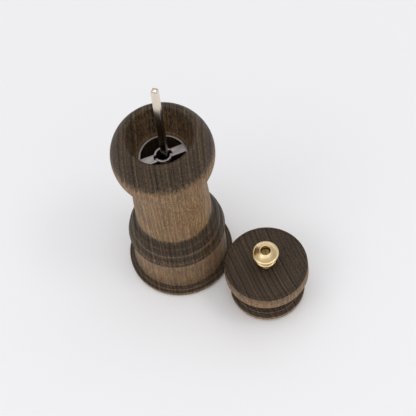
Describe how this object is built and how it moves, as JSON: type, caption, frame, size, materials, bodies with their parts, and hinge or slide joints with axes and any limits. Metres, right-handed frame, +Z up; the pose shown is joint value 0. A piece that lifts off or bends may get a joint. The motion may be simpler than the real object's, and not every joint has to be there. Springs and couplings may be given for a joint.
{
  "type": "pepper mill",
  "caption": "Turned oak pepper mill with its cap lifted off and stood beside it, square steel shaft, burr grinder in the base and a brass adjusting knob.",
  "frame": {"origin": "middle of the box round the mill and its cap, on the surface that both stand on", "axes": "+Z up along the shaft; the cap stands towards +X and -Y of the mill"},
  "size_m": [0.0994, 0.0858, 0.1569],
  "materials": {
    "oak": "dark stained open-pored oak, oiled",
    "plate_steel": "satin pressed steel",
    "burr_steel": "hardened steel, phosphated",
    "shaft_steel": "bright drawn steel",
    "brass": "polished, lacquered"
  },
  "bodies": {
    "mill_body": {"wooden_body": "oak", "guide_plate": "plate_steel", "stator_ring": "burr_steel", "stator_flange": "plate_steel", "bottom_bar": "plate_steel", "bar_screw_1": "plate_steel", "bar_screw_2": "plate_steel", "flange_screw_1": "plate_steel", "flange_screw_2": "plate_steel", "bridge": "plate_steel", "bridge_bush": "brass"},
    "spring_seat": {"thrust_washer": "plate_steel", "grinder_spring": "shaft_steel"},
    "spindle": {"shaft": "shaft_steel", "rotor_burr": "burr_steel", "rotor_nut": "plate_steel", "shaft_collar": "plate_steel"},
    "cap_carrier": {"cap_bush": "brass"},
    "cap": {"cap_wood": "oak", "drive_plate": "plate_steel", "drive_plate_screw_1": "plate_steel", "drive_plate_screw_2": "plate_steel"},
    "knob_seat": {"knob_washer": "brass"},
    "knob": {"brass_knob": "brass", "lock_screw": "brass"}
  },
  "joints": [
    {"name": "grind_adjust", "type": "slide", "parent": "mill_body", "child": "spring_seat", "axis": [0, 0, 1], "range_m": [0, 0.0012], "deforming": ["grinder_spring"]},
    {"name": "shaft_spin", "type": "hinge", "parent": "spring_seat", "child": "spindle", "pos_m": [-0.01966, 0.01295, 0.0356], "axis": [0.0157, 0, 0.9999], "continuous": true},
    {"name": "cap_lift", "type": "slide", "parent": "mill_body", "child": "cap_carrier", "axis": [0, 0, 1], "range_m": [0, 0.165]},
    {"name": "cap_turn", "type": "hinge", "parent": "cap_carrier", "child": "cap", "pos_m": [0.02636, -0.01965, 0.015], "axis": [0, 0, 1], "continuous": true},
    {"name": "knob_lift", "type": "slide", "parent": "cap", "child": "knob_seat", "axis": [0, 0, 1], "range_m": [0, 0.01]},
    {"name": "knob_turn", "type": "hinge", "parent": "knob_seat", "child": "knob", "pos_m": [0.02636, -0.01965, 0.04], "axis": [0, 0, 1], "continuous": true}
  ]
}
